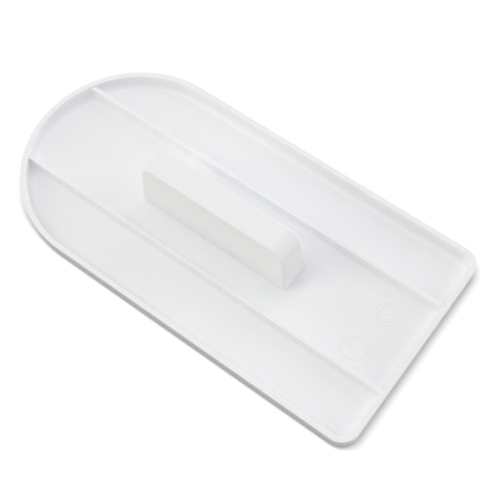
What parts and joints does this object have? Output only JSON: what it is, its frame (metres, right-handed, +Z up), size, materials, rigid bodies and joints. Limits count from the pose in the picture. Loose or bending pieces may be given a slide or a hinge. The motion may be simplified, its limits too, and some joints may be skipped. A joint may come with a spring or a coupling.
{
  "type": "icing smoother",
  "caption": "White plastic icing smoother: flat-soled plate with a raised rim, one round and one square end, lengthwise ribs and an upright hollow handle.",
  "frame": {"origin": "middle of the plate's length and width, on the flat smoothing face", "axes": "+X along the plate towards its square end, +Y across it, +Z up through the handle"},
  "size_m": [0.155, 0.078, 0.0237],
  "materials": {
    "plate_plastic": "satin moulded white",
    "handle_plastic": "satin moulded white"
  },
  "bodies": {
    "root": {"base_plate": "plate_plastic", "handle_shell": "handle_plastic"}
  },
  "joints": []
}
